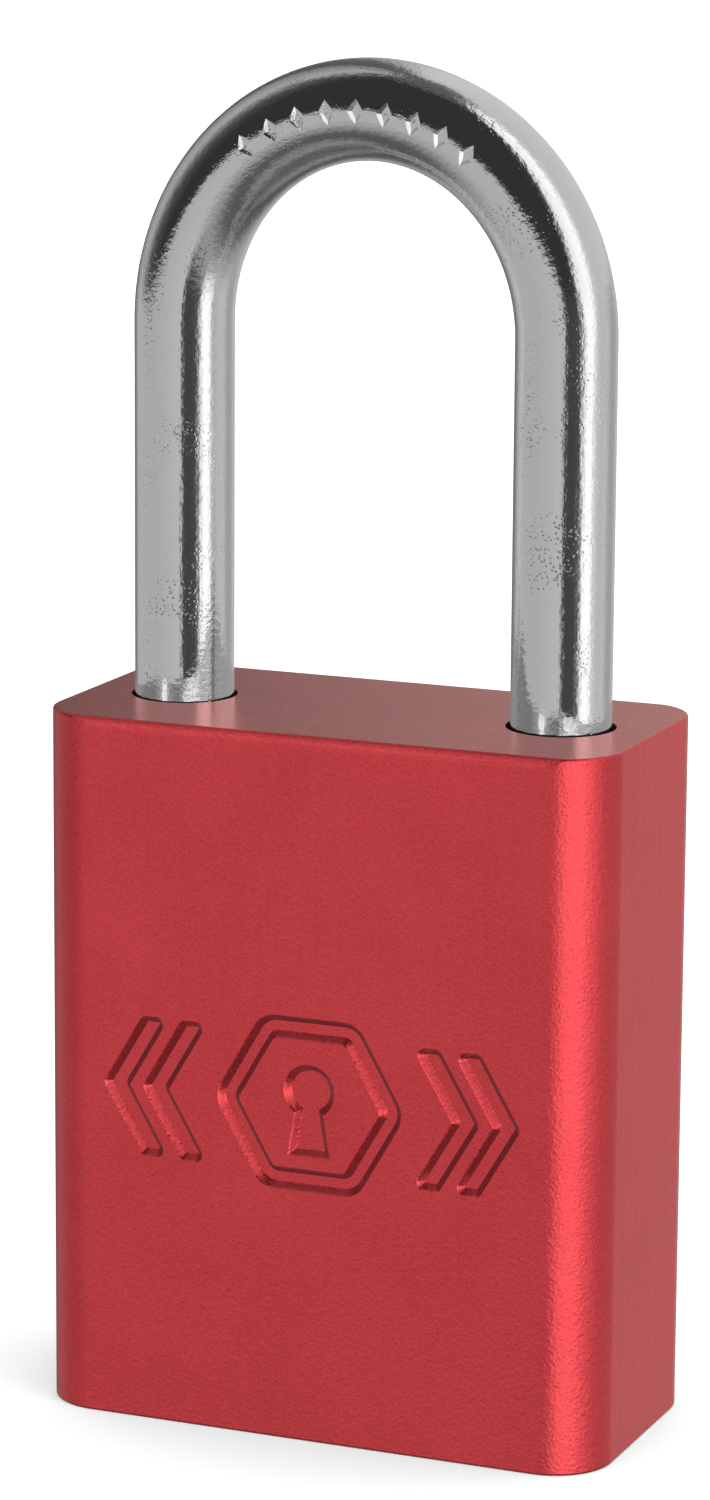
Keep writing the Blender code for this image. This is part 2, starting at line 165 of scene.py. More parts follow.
SCREW_THREAD_PITCH = 0.5 * MM
SCREW_THREAD_DEPTH = 0.2 * MM
SCREW_HEX_RADIUS = 1.35 * MM
SCREW_HEX_DEPTH = 1.2 * MM
SHACKLE_SPRING = {"Turns": 6.0, "Mean Radius": 2.4 * MM, "Wire Radius": 0.4 * MM}
PIN_SPRING = {"Turns": 4.5, "Mean Radius": 0.92 * MM, "Wire Radius": 0.17 * MM}
EDGE = 0.12 * MM


# ---- shape helpers ----

def circle(radius, sides, centre=(0.0, 0.0)):
    turn = 2 * math.pi / sides
    return [(centre[0] + radius * math.cos(turn * i), centre[1] + radius * math.sin(turn * i))
            for i in range(sides)]


def loft(rings, closed=False):
    """Join rings of equal length into one closed skin: flat ends, or a tube that meets itself."""
    mesh = bmesh.new()
    loops = [[mesh.verts.new(point) for point in ring] for ring in rings]
    pairs = list(zip(loops, loops[1:]))
    if closed:
        pairs.append((loops[-1], loops[0]))
    for lower, upper in pairs:
        for i in range(len(lower)):
            j = (i + 1) % len(lower)
            mesh.faces.new((lower[i], lower[j], upper[j], upper[i]))
    if not closed:
        mesh.faces.new(list(reversed(loops[0])))
        mesh.faces.new(loops[-1])
    bmesh.ops.recalc_face_normals(mesh, faces=mesh.faces[:])
    return mesh


def prism(outline, low, high):
    return loft([[(x, y, z) for x, y in outline] for z in (low, high)])


def turned(profile, sides, centre=(0.0, 0.0)):
    return loft([[(x, y, z) for x, y in circle(r, sides, centre)] for r, z in profile])


def laid_along(mesh, axis, start):
    turn = Vector((0, 0, 1)).rotation_difference(Vector(axis)).to_matrix().to_4x4()
    bmesh.ops.transform(mesh, matrix=Matrix.Translation(start) @ turn, verts=mesh.verts[:])
    return mesh


def rod(radius, start, axis, length, sides):
    return laid_along(turned([(radius, 0.0), (radius, length)], sides), axis, start)


def make_piece(name, mesh, *mats):
    data = bpy.data.meshes.new(name)
    mesh.to_mesh(data)
    mesh.free()
    for mat in mats:
        data.materials.append(mat)
    made = bpy.data.objects.new(name, data)
    bpy.context.collection.objects.link(made)
    return made


def flatten(target):
    """Turn the object with its modifiers into a plain mesh."""
    bpy.context.view_layer.update()
    shape = bpy.data.meshes.new_from_object(target.evaluated_get(bpy.context.evaluated_depsgraph_get()))
    target.modifiers.clear()
    target.data = shape


def combine(target, operation, *tools):
    for tool in tools:
        other = tool if isinstance(tool, bpy.types.Object) else make_piece("tool", tool)
        change = target.modifiers.new("combine", "BOOLEAN")
        change.operation = operation
        change.object = other
        flatten(target)
        bpy.data.objects.remove(other, do_unlink=True)


def cut(target, *tools):
    combine(target, "DIFFERENCE", *tools)


def finish_edges(target, angle=30, weighted=True):
    """Smooth the round faces, and keep the flat ones flat up to their edges."""
    mesh = bmesh.new()
    mesh.from_mesh(target.data)
    bmesh.ops.remove_doubles(mesh, verts=mesh.verts[:], dist=0.001 * MM)
    bmesh.ops.dissolve_degenerate(mesh, edges=mesh.edges[:], dist=0.001 * MM)
    mesh.to_mesh(target.data)
    mesh.free()
    target.data.shade_smooth()
    target.data.set_sharp_from_angle(angle=math.radians(angle))
    if weighted:
        weigh = target.modifiers.new("weigh", "WEIGHTED_NORMAL")
        weigh.keep_sharp = True
        flatten(target)


# ---- material helpers ----

def node(tree, kind, inputs=None, **settings):
    made = tree.nodes.new(kind)
    for key, value in settings.items():
        setattr(made, key, value)
    for key, value in (inputs or {}).items():
        if isinstance(value, bpy.types.NodeSocket):
            tree.links.new(value, made.inputs[key])
        else:
            made.inputs[key].default_value = value
    return made


def math_node(tree, operation, *values, clamp=False):
    made = node(tree, "ShaderNodeMath", dict(enumerate(values)), operation=operation, use_clamp=clamp)
    return made.outputs[0]


def mix_colour(tree, factor, first, second):
    made = node(tree, "ShaderNodeMix", {0: factor, 6: first, 7: second}, data_type="RGBA")
    return made.outputs[2]


def noise(tree, place, scale, detail, roughness=0.5):
    return node(tree, "ShaderNodeTexNoise",
                {"Vector": place, "Scale": scale, "Detail": detail, "Roughness": roughness}).outputs


def share_of(tree, value, low, high, **settings):
    """How far a value is from low to high, held between 0 and 1."""
    made = node(tree, "ShaderNodeMapRange", {"Value": value, "From Min": low, "From Max": high}, **settings)
    return made.outputs[0]


def new_group(name, inputs, outputs):
    tree = bpy.data.node_groups.new(name, "ShaderNodeTree")
    for label, kind, value in inputs:
        socket = tree.interface.new_socket(label, in_out="INPUT", socket_type="NodeSocket" + kind)
        if value is not None:
            socket.default_value = value
    for label, kind in outputs:
        tree.interface.new_socket(label, in_out="OUTPUT", socket_type="NodeSocket" + kind)
    return tree, tree.nodes.new("NodeGroupInput").outputs, tree.nodes.new("NodeGroupOutput").inputs


def grain_group():
    """Fine matt speckle: a mask, and a height for a bump."""
    tree, given, out = new_group("Grain", [("Vector", "Vector", None), ("Size", "Float", 0.2 * MM)],
                                 [("Mask", "Float"), ("Height", "Float")])
    scale = math_node(tree, "DIVIDE", 1.0, given["Size"])
    fine = noise(tree, given["Vector"], scale, 3.0, 0.65)[0]
    coarse = noise(tree, given["Vector"], math_node(tree, "MULTIPLY", scale, 0.28), 2.0)[0]
    height = math_node(tree, "ADD", math_node(tree, "MULTIPLY", fine, 0.6),
                       math_node(tree, "MULTIPLY", coarse, 0.8))
    tree.links.new(share_of(tree, fine, 0.34, 0.66), out["Mask"])
    tree.links.new(height, out["Height"])
    return tree


def lines_group():
    """Fine lines drawn along one direction, as an extruded or ground face has."""
    tree, given, out = new_group("DrawnLines",
                                 [("Vector", "Vector", None), ("Stretch", "Vector", (1, 1, 0.01)),
                                  ("Spacing", "Float", 0.3 * MM)],
                                 [("Mask", "Float"), ("Height", "Float")])
    stretched = node(tree, "ShaderNodeVectorMath", {0: given["Vector"], 1: given["Stretch"]},
                     operation="MULTIPLY")
    scale = math_node(tree, "DIVIDE", 1.0, given["Spacing"])
    drawn = noise(tree, stretched.outputs[0], scale, 4.0, 0.6)[0]
    tree.links.new(share_of(tree, drawn, 0.3, 0.7), out["Mask"])
    tree.links.new(drawn, out["Height"])
    return tree


GRAIN = grain_group()
LINES = lines_group()


def use_group(tree, group, **inputs):
    made = node(tree, "ShaderNodeGroup", node_tree=group)
    for key, value in inputs.items():
        if isinstance(value, bpy.types.NodeSocket):
            tree.links.new(value, made.inputs[key])
        else:
            made.inputs[key].default_value = value
    return made.outputs


def start_material(name, metallic, **fixed):
    """A material whose constant values sit on the shader's own sockets."""
    mat = bpy.data.materials.new(name)
    mat.use_nodes = True
    tree = mat.node_tree
    shader = tree.nodes["Principled BSDF"]
    shader.inputs["Metallic"].default_value = metallic
    for key, value in fixed.items():
        shader.inputs[key.replace("_", " ")].default_value = value
    place = tree.nodes.new("ShaderNodeTexCoord").outputs["Object"]
    return mat, tree, shader, place


def feed(tree, shader, **sources):
    for key, value in sources.items():
        tree.links.new(value, shader.inputs[key.replace("_", " ")])


def bump(tree, height, distance, strength=1.0, before=None):
    made = node(tree, "ShaderNodeBump", {"Height": height, "Distance": distance, "Strength": strength})
    if before is not None:
        tree.links.new(before, made.inputs["Normal"])
    return made.outputs[0]


def between(tree, factor, low, high):
    return node(tree, "ShaderNodeMapRange", {"Value": factor, "To Min": low, "To Max": high}).outputs[0]


def pit_group():
    """Small shallow pits, as a peened or blasted face has: a mask of their rims, and their height."""
    tree, given, out = new_group("Pits", [("Vector", "Vector", None), ("Size", "Float", 0.2 * MM)],
                                 [("Mask", "Float"), ("Height", "Float")])
    scale = math_node(tree, "DIVIDE", 1.0, given["Size"])
    wobble = noise(tree, given["Vector"], scale, 2.0)["Color"]
    drift = node(tree, "ShaderNodeVectorMath", {0: wobble, 1: (0.5, 0.5, 0.5)}, operation="SUBTRACT")
    reach = math_node(tree, "MULTIPLY", given["Size"], 0.9)
    moved = node(tree, "ShaderNodeVectorMath", {0: drift.outputs[0], "Scale": reach}, operation="SCALE")
    place = node(tree, "ShaderNodeVectorMath", {0: given["Vector"], 1: moved.outputs[0]}, operation="ADD")
    cells = node(tree, "ShaderNodeTexVoronoi", {"Vector": place.outputs[0], "Scale": scale},
                 feature="SMOOTH_F1").outputs["Distance"]
    tree.links.new(share_of(tree, cells, 0.15, 0.75), out["Mask"])
    tree.links.new(cells, out["Height"])
    return tree


PITS = pit_group()


def anodised(name, base, deep, stretch, spacing, line_share, line_depth, pit_depth, rough_low, rough_high,
             seal=0.20, seal_rough=0.24):
    """Dyed aluminium with a peened skin, over the lines its face was made with, and a thin clear seal."""
    mat, tree, shader, place = start_material(name, 1.0, Coat_Weight=seal, Coat_Roughness=seal_rough,
                                              Coat_IOR=1.5)
    grain = use_group(tree, GRAIN, Vector=place, Size=0.13 * MM)
    pits = use_group(tree, PITS, Vector=place, Size=0.20 * MM)
    lines = use_group(tree, LINES, Vector=place, Stretch=stretch, Spacing=spacing)
    cloud = noise(tree, place, 120.0, 3.0)[0]
    tone = math_node(tree, "ADD", math_node(tree, "MULTIPLY", grain["Mask"], 0.46),
                     math_node(tree, "MULTIPLY", lines["Mask"], line_share))
    tone = math_node(tree, "ADD", tone, math_node(tree, "MULTIPLY", pits["Mask"], 0.14))
    tone = math_node(tree, "ADD", tone, math_node(tree, "MULTIPLY", cloud, 0.38), clamp=True)
    # painted reflection and bounce light: only camera rays see the dye, while the chrome's reflections and
    # the floor's bounce light see the block in a flat grey
    seen = node(tree, "ShaderNodeLightPath").outputs["Is Camera Ray"]
    dyed = mix_colour(tree, tone, deep, base)
    feed(tree, shader, Base_Color=mix_colour(tree, seen, (0.24, 0.222, 0.222, 1), dyed),
         Roughness=between(tree, grain["Mask"], rough_low, rough_high),
         Normal=bump(tree, pits["Height"], pit_depth,
                     before=bump(tree, grain["Height"], 0.018 * MM,
                                 before=bump(tree, lines["Height"], line_depth))))
    return mat


def chrome(name):
    """Bright plate over a drawn bar: lines along the bar, patches of small pits and a slight haze."""
    mat, tree, shader, place = start_material(name, 1.0)
    along = node(tree, "ShaderNodeUVMap", uv_map="along_bar").outputs[0]
    lines = use_group(tree, LINES, Vector=along, Stretch=(1.0, 0.02, 1.0), Spacing=0.24 * MM)
    haze = noise(tree, place, 240.0, 4.0)[0]
    patch = share_of(tree, haze, 0.50, 0.66)
    cells = node(tree, "ShaderNodeTexVoronoi", {"Vector": place, "Scale": 4200.0}).outputs["Distance"]
    pit = math_node(tree, "SUBTRACT", 1.0, share_of(tree, cells, 0.14, 0.36))
    pitted = math_node(tree, "MULTIPLY", pit, patch)
    ripple = noise(tree, place, 2600.0, 3.0)[0]
    feed(tree, shader,
         Base_Color=mix_colour(tree, pitted, (0.80, 0.802, 0.805, 1), (0.70, 0.702, 0.705, 1)),
         Roughness=between(tree, haze, 0.045, 0.10),
         Normal=bump(tree, math_node(tree, "SUBTRACT", 1.0, pitted), 0.020 * MM, 0.6,
                     before=bump(tree, lines["Height"], 0.009 * MM,
                                 before=bump(tree, ripple, 0.020 * MM))))
    return mat


def turned_metal(name, base, dark, roughness, spacing=0.15 * MM):
    """Turned or drawn metal with faint tool rings about the vertical."""
    mat, tree, shader, place = start_material(name, 1.0)
    lines = use_group(tree, LINES, Vector=place, Stretch=(0.06, 0.06, 1.0), Spacing=spacing)
    grain = use_group(tree, GRAIN, Vector=place, Size=0.25 * MM)
    feed(tree, shader,
         Base_Color=mix_colour(tree, grain["Mask"], dark, base),
         Roughness=between(tree, lines["Mask"], roughness * 0.75, roughness * 1.3),
         Normal=bump(tree, lines["Height"], 0.006 * MM))
    return mat


# painted light: the three reds below are copies of one dyed aluminium. Each face direction has its own base
# and deep colour for how light falls on it, so the sides come out apart from the front, and the ends come out
# browner and darker. Their drawn lines, pits, roughness and seal differ for real.
RED = anodised("red_anodise", (1.0, 0.098, 0.112, 1), (0.58, 0.038, 0.048, 1), (1.0, 1.0, 0.05), 0.40 * MM,
               0.06, 0.002 * MM, 0.022 * MM, 0.30, 0.42)
RED_SIDES_PAINTED_LIGHT = anodised("red_anodise_sides_painted_light", (1.0, 0.058, 0.068, 1), (0.66, 0.034, 0.042, 1), (1.0, 1.0, 0.012),
                     0.45 * MM, 0.30, 0.006 * MM, 0.014 * MM, 0.30, 0.42)
RED_ENDS_PAINTED_SHADE = anodised("red_anodise_sawn_painted_shade", (0.98, 0.105, 0.060, 1), (0.28, 0.028, 0.016, 1), (0.12, 1.0, 1.0),
                    0.5 * MM, 0.30, 0.006 * MM, 0.006 * MM, 0.20, 0.30, 0.25, 0.12)
CHROME = chrome("chrome_plate")
STEEL = turned_metal("ground_steel", (0.60, 0.61, 0.62, 1), (0.48, 0.49, 0.50, 1), 0.26)
SPRING = turned_metal("spring_wire", (0.46, 0.47, 0.50, 1), (0.36, 0.37, 0.40, 1), 0.30)
BRASS = turned_metal("cylinder_brass", (0.80, 0.62, 0.30, 1), (0.66, 0.48, 0.20, 1), 0.28)
PIN_BRASS = turned_metal("pin_brass", (0.84, 0.66, 0.33, 1), (0.70, 0.52, 0.24, 1), 0.22, 0.1 * MM)


# ---- geometry node helpers ----

def new_geometry_tree(name, inputs):
    """A Geometry Nodes tree, the identifiers of its inputs by label, and its input sockets."""
    tree = bpy.data.node_groups.new(name, "GeometryNodeTree")
    tree.interface.new_socket("Geometry", in_out="INPUT", socket_type="NodeSocketGeometry")
    ids = {}
    for label, kind in inputs:
        socket = tree.interface.new_socket(label, in_out="INPUT", socket_type="NodeSocket" + kind)
        ids[label] = socket.identifier
    tree.interface.new_socket("Geometry", in_out="OUTPUT", socket_type="NodeSocketGeometry")
    return tree, ids, tree.nodes.new("NodeGroupInput").outputs


def close_tree(tree, geometry, mat):
    """End a Geometry Nodes tree in real geometry of one material."""
    whole = node(tree, "GeometryNodeRealizeInstances", {"Geometry": geometry})
    coated = node(tree, "GeometryNodeSetMaterial", {"Geometry": whole.outputs[0], "Material": mat})
    tree.links.new(coated.outputs[0], tree.nodes.new("NodeGroupOutput").inputs[0])


def apply_tree(target, tree, ids, values):
    change = target.modifiers.new(tree.name, "NODES")
    change.node_group = tree
    for label, value in values.items():
        change[ids[label]] = value
    flatten(target)


# ---- the block ----

def smoothstep(low, high, value):
    t = min(max((value - low) / (high - low), 0.0), 1.0)
    return t * t * (3 - 2 * t)


def block_ring(edge, inward, rise):
    """One ring of the block's skin near its top or bottom edge: the front and back top edges are rolled
    over, and the roll runs out where the corners start into a plain broken edge."""
    ring = []
    for quarter, (sx, sy) in enumerate(((1, 1), (-1, 1), (-1, -1), (1, -1))):
        cx = sx * (BLOCK_WIDTH / 2 - CORNER)
        cy = sy * (BLOCK_DEPTH / 2 - CORNER)
        for step in range(CORNER_STEPS + 1):
            angle = math.radians(90 * quarter + 90 * step / CORNER_STEPS)
            roll = smoothstep(0.94, 0.999, abs(math.sin(angle))) if edge == "top" else 0.0
            depth = (SIDE_BREAK + (ROLL_DEPTH - SIDE_BREAK) * roll) * inward
            height = (SIDE_BREAK + (ROLL_HEIGHT - SIDE_BREAK) * roll) * rise
            z = BLOCK_HEIGHT - height if edge == "top" else height
            reach = CORNER - depth
            ring.append((cx + reach * math.cos(angle), cy + reach * math.sin(angle), z))
    return ring


def block_skin():
    # inward and upward shares of the edge, from the wall to the flat end
    turns = [math.pi / 2 * step / EDGE_STEPS for step in range(EDGE_STEPS + 1)]
    edge = [(1 - math.cos(a), 1 - math.sin(a)) for a in turns]
    rings = [block_ring("bottom", inward, rise) for inward, rise in reversed(edge)]
    rings += [block_ring("top", inward, rise) for inward, rise in edge]
    return loft(rings)


def pear(radius, half_width, reach, steps=64):
    join = math.asin(half_width / radius)
    span = 2 * math.pi - 2 * join
    arc = [(radius * math.cos(join + span * i / steps), radius * math.sin(join + span * i / steps))
           for i in range(steps + 1)]
    return arc + [(reach, -half_width), (reach, half_width)]


def rounded(points, radius, steps=4):
    """Round each corner of a closed outline with a small arc."""
    out = []
    count = len(points)
    for i, corner in enumerate(points):
        here = Vector(corner)
        back = (Vector(points[i - 1]) - here).normalized()
        ahead = (Vector(points[(i + 1) % count]) - here).normalized()
        half = back.angle(ahead) / 2
        run = radius / math.tan(half)
        start = here + back * run
        end = here + ahead * run
        centre = here + (back + ahead).normalized() * (radius / math.sin(half))
        first = start - centre
        turn = first.angle_signed(end - centre)
        for step in range(steps + 1):
            spin = Matrix.Rotation(-turn * step / steps, 2)
            out.append(tuple(centre + spin @ first))
    return out


def grown(points, amount):
    """Move each side of a closed anticlockwise outline outwards by amount."""
    out = []
    count = len(points)
    for i, corner in enumerate(points):
        here = Vector(corner)
        before = (here - Vector(points[i - 1])).normalized()
        after = (Vector(points[(i + 1) % count]) - here).normalized()
        normal_before = Vector((before.y, -before.x))
        normal_after = Vector((after.y, -after.x))
        middle = (normal_before + normal_after).normalized()
        out.append(tuple(here + middle * (amount / max(middle.dot(normal_after), 0.3))))
    return out


# how far the wall of a pressed mark leans out, and how deep, from outside the face to the floor
PRESS = [(0.19, -0.50), (0.18, 0.02), (0.12, 0.10), (0.05, 0.26), (-0.17, 0.84), (-0.25, 1.0)]


def pressed(outline, depth):
    """A cutter for a mark pressed into the front face, with an eased rim and leaning walls."""
    rings = []
    for lean, share in PRESS:
        y = BLOCK_LOW.y + share * depth
        rings.append([(x, y, EMBLEM_HEIGHT + z) for x, z in grown(outline, lean * MM)])
    return loft(rings)


def pressed_band(outer, inner, depth):
    """The same for a band between two outlines with the same number of points."""
    outer_rings = []
    inner_rings = []
    for lean, share in PRESS:
        y = BLOCK_LOW.y + share * depth
        outer_rings.append([(x, y, EMBLEM_HEIGHT + z) for x, z in grown(outer, lean * MM)])
        inner_rings.append([(x, y, EMBLEM_HEIGHT + z) for x, z in grown(inner, -lean * MM)])
    return loft(outer_rings + list(reversed(inner_rings)), closed=True)


def hexagon(radius, rounding):
    corners = [(radius * math.cos(math.radians(60 * i)), radius * math.sin(math.radians(60 * i)))
               for i in range(6)]
    return rounded(corners, rounding, 5)


def keyhole(radius, foot_half, foot):
    join = math.radians(-60)
    arc = [(radius * math.cos(a), radius * math.sin(a))
           for a in [join + (math.pi - 2 * join) * i / 20 for i in range(21)]]
    return arc + [(-foot_half, foot), (foot_half, foot)]


def chevron(near, stroke, tip, half_height, side):
    points = [(near, half_height), (near + tip, 0), (near, -half_height), (near + stroke, -half_height),
              (near + stroke + tip, 0), (near + stroke, half_height)]
    if side < 0:
        points = [(-x, z) for x, z in reversed(points)]
    return [(x * MM, z * MM) for x, z in points]


def joined(meshes):
    """One mesh that holds several separate shapes."""
    whole = bmesh.new()
    for part in meshes:
        data = bpy.data.meshes.new("part")
        part.to_mesh(data)
        part.free()
        whole.from_mesh(data)
        bpy.data.meshes.remove(data)
    return whole


def emblem_cutter():
    """A keyhole in a six-sided frame, with two chevrons on each side."""
    hole = [(x * MM, (z + KEYHOLE_LIFT) * MM) for x, z in keyhole(*KEYHOLE)]
    tools = [pressed_band(hexagon(FRAME_OUTER, FRAME_OUTER_ROUNDING),
                          hexagon(FRAME_INNER, FRAME_INNER_ROUNDING), EMBLEM_DEPTH),
             pressed(hole, EMBLEM_DEPTH)]
    for side in (1, -1):
        for near in CHEVRON_STARTS:
            shape = rounded(chevron(near, *CHEVRON_SHAPE, side), CHEVRON_ROUNDING, 4)
            tools.append(pressed(shape, EMBLEM_DEPTH))
    return joined(tools)


def make_block():
    block = make_piece("block_shell", block_skin(), RED, RED_ENDS_PAINTED_SHADE, RED_SIDES_PAINTED_LIGHT)
    above = BLOCK_HEIGHT + 1 * MM
    cut(block,
        prism(circle(HEEL_HOLE_RADIUS, 72, (-LEG_X, 0)), HEEL_HOLE_FLOOR, above),
        prism(circle(TOE_HOLE_RADIUS, 72, (LEG_X, 0)), TOE_HOLE_FLOOR, above),
        prism(pear(SHELL_ROOM_RADIUS, LOBE_ROOM_HALF, LOBE_ROOM_REACH), -1 * MM, LOBE_ROOM_TOP),
        prism(circle(SHELL_ROOM_RADIUS - 0.04 * MM, 72), LOBE_ROOM_TOP - 1 * MM, SHELL_ROOM_TOP),
        prism(circle(CAM_ROOM_RADIUS, 60), SHELL_ROOM_TOP - 0.5 * MM, CAM_ROOM_TOP),
        rod(BALL_PASSAGE_RADIUS, (-LEG_X, 0, BALL_HEIGHT), (1, 0, 0), 2 * LEG_X, 48),
        prism(circle(SCREW_HOLE_RADIUS, 32, (LEG_X, 0)), LOBE_ROOM_TOP - 0.5 * MM, TOE_HOLE_FLOOR + 0.5 * MM),
        emblem_cutter())
    finish_edges(block, 24)
    # painted light: the ends, the sides and the front and back each take their own copy of the red, coloured
    # for how light falls on that face
    for face in block.data.polygons:
        face.material_index = 1 if abs(face.normal.z) > 0.97 else 2 if abs(face.normal.x) > 0.99 else 0
    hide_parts("lock_body")
    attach(block, "block")
    return block


# ---- the shackle ----

def heel_profile():
    centre = BALL_HEIGHT - LIFT
    depth = LEG_X - BALL_LOCKED
    lower = math.sqrt(NOTCH_RADIUS ** 2 - (depth - BAR_RADIUS) ** 2)
    upper = math.sqrt(NOTCH_RADIUS ** 2 - (depth - NECK_RADIUS) ** 2)
    profile = [(BAR_RADIUS - END_CHAMFER, BAR_LOW.z), (BAR_RADIUS, BAR_LOW.z + END_CHAMFER)]
    steps = 20
    for step in range(steps + 1):
        height = centre - lower + (lower + upper) * step / steps
        reach = math.sqrt(max(NOTCH_RADIUS ** 2 - (height - centre) ** 2, 0.0))
        profile.append((min(BAR_RADIUS, depth - reach), height))
    profile.append((NECK_RADIUS, NECK_TOP))
    profile.append((BAR_RADIUS, NECK_TOP + BAR_RADIUS - NECK_RADIUS))
    return profile


def crown_point(angle):
    """A point on the crown's centre line and its outward direction, angle from the toe side."""
    point = Vector((LEG_X * math.cos(angle), 0, STRAIGHT_TOP + CROWN_RISE * math.sin(angle)))
    outward = Vector((CROWN_RISE * math.cos(angle), 0, LEG_X * math.sin(angle))).normalized()
    return point, outward


def bar_skin(toe_end, sides=72, crown_steps=110):
    path = [(Vector((-LEG_X, 0, z)), Vector((-1, 0, 0)), r) for r, z in heel_profile()]
    for step in range(crown_steps + 1):
        point, outward = crown_point(math.pi * (1 - step / crown_steps))
        path.append((point, outward, BAR_RADIUS))
    for radius, height in ((BAR_RADIUS, toe_end + END_CHAMFER), (BAR_RADIUS - END_CHAMFER, toe_end)):
        path.append((Vector((LEG_X, 0, height)), Vector((1, 0, 0)), radius))
    turn = 2 * math.pi / sides
    mesh = bmesh.new()
    layer = mesh.loops.layers.uv.new("along_bar")
    loops = []
    runs = []
    run = 0.0
    for index, (point, outward, radius) in enumerate(path):
        if index:
            run += (point - path[index - 1][0]).length
        runs.append(run)
        loops.append([mesh.verts.new(point + radius * (outward * math.cos(turn * k) +
                                                       Vector((0, math.sin(turn * k), 0))))
                      for k in range(sides)])
    girth = 2 * math.pi * BAR_RADIUS
    for index in range(len(loops) - 1):
        for k in range(sides):
            after = (k + 1) % sides
            face = mesh.faces.new((loops[index][k], loops[index][after], loops[index + 1][after],
                                   loops[index + 1][k]))
            spots = ((k, index), (k + 1, index), (k + 1, index + 1), (k, index + 1))
            for corner, (around, level) in zip(face.loops, spots):
                corner[layer].uv = (girth * around / sides, runs[level])
    mesh.faces.new(list(reversed(loops[0])))
    mesh.faces.new(loops[-1])
    bmesh.ops.recalc_face_normals(mesh, faces=mesh.faces[:])
    return mesh


def mark_tool():
    """One stamped lozenge, standing on the bar and pointing into it."""
    outline = [(MARK_HALF_WIDE, 0), (0, MARK_HALF_LONG), (-MARK_HALF_WIDE, 0), (0, -MARK_HALF_LONG)]
    rings = []
    for share, depth in ((1.30, 0.5 * MM), (1.10, 0.02 * MM), (0.92, -0.05 * MM), (0.55, -MARK_DEPTH)):
        rings.append([(x * share, y * share, depth) for x, y in outline])
    return make_piece("mark_tool", loft(rings))


def mark_row_tree(tool):
    """Geometry nodes: a copy of the tool on each point, turned to the point's two directions."""
    tree, ids, given = new_geometry_tree("MarkRow", [("Mark Size", "Float")])
    facing = node(tree, "GeometryNodeInputNamedAttribute", {"Name": "facing"}, data_type="FLOAT_VECTOR")
    along = node(tree, "GeometryNodeInputNamedAttribute", {"Name": "along"}, data_type="FLOAT_VECTOR")
    turn = node(tree, "FunctionNodeAxesToRotation", {0: facing.outputs[0], 1: along.outputs[0]},
                primary_axis="Z", secondary_axis="X")
    shape = node(tree, "GeometryNodeObjectInfo", {"Object": tool})
    copies = node(tree, "GeometryNodeInstanceOnPoints",
                  {"Points": given[0], "Instance": shape.outputs["Geometry"], "Rotation": turn.outputs[0],
                   "Scale": given["Mark Size"]})
    close_tree(tree, copies.outputs[0], CHROME)
    return tree, ids


def mark_row():
    """The row of stamped marks along the crown's front, as one cutter."""
    tool = mark_tool()
    centres = []
    facings = []
    alongs = []
    for index in range(MARK_COUNT):
        angle = math.pi / 2 - (index - (MARK_COUNT - 1) / 2) * MARK_STEP
        point, outward = crown_point(angle)
        facing = Vector((0, -math.cos(MARK_TILT), 0)) + outward * math.sin(MARK_TILT)
        centres.append(point + facing * BAR_RADIUS)
        facings.extend(facing)
        alongs.extend(Vector((0, 1, 0)).cross(outward).normalized())
    data = bpy.data.meshes.new("mark_row")
    data.from_pydata(centres, [], [])
    for name, values in (("facing", facings), ("along", alongs)):
        data.attributes.new(name, "FLOAT_VECTOR", "POINT").data.foreach_set("vector", values)
    row = bpy.data.objects.new("mark_row", data)
    bpy.context.collection.objects.link(row)
    tree, ids = mark_row_tree(tool)
    apply_tree(row, tree, ids, {"Mark Size": 1.0})
    bpy.data.objects.remove(tool, do_unlink=True)
    return row


def make_shackle():
    bar = make_piece("shackle_bar", bar_skin(TOE_END), CHROME)
    across = 10 * MM
    notches = [rod(NOTCH_RADIUS, (x, -across / 2, BALL_HEIGHT), (0, 1, 0), across, 72)
               for x in (-BALL_LOCKED, BALL_LOCKED)]
    cut(bar, *notches, mark_row())
    finish_edges(bar, 18, weighted=False)
    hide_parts("shackle")
    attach(bar, "shackle_bar")


# ---- the lock works ----

def box(low, high):
    outline = [(low[0], low[1]), (high[0], low[1]), (high[0], high[1]), (low[0], high[1])]
    return prism(outline, low[2], high[2])


def eased(profile, ease=EDGE):
    """Break the outer corners of a turned profile, given as (radius, height) pairs from the foot up."""
    out = []
    last = len(profile) - 1
    for i, (radius, height) in enumerate(profile):
        before = profile[i - 1] if i else (0.0, height)
        after = profile[i + 1] if i < last else (0.0, height)
        outer = radius > min(before[0], after[0]) + 1e-9
        if outer and before[1] == height:
            out += [(radius - ease, height), (radius, height + ease)]
        elif outer and after[1] == height:
            out += [(radius, height - ease), (radius - ease, height)]
        else:
            out.append((radius, height))
    return out


def bevel(target, width=EDGE, angle=40):
    change = target.modifiers.new("edges", "BEVEL")
    change.width = width
    change.segments = 2
    change.limit_method = "ANGLE"
    change.angle_limit = math.radians(angle)
    change.harden_normals = True
    flatten(target)


def settle(piece, node_name, angle=30):
    """Shade a finished lock piece, and let it stand for its node."""
    finish_edges(piece, angle)
    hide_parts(node_name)
    for body, members in frame["record"]["behaviour"]["bodies"].items():
        if node_name in members:
            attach(piece, body)


def make_balls():
    for node_name in ("heel_ball", "toe_ball"):
        low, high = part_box(node_name)
        mesh = bmesh.new()
        bmesh.ops.create_uvsphere(mesh, u_segments=64, v_segments=40, radius=BALL_RADIUS)
        bmesh.ops.translate(mesh, vec=(low + high) / 2, verts=mesh.verts[:])
        settle(make_piece(node_name + "_polished", mesh, STEEL), node_name)


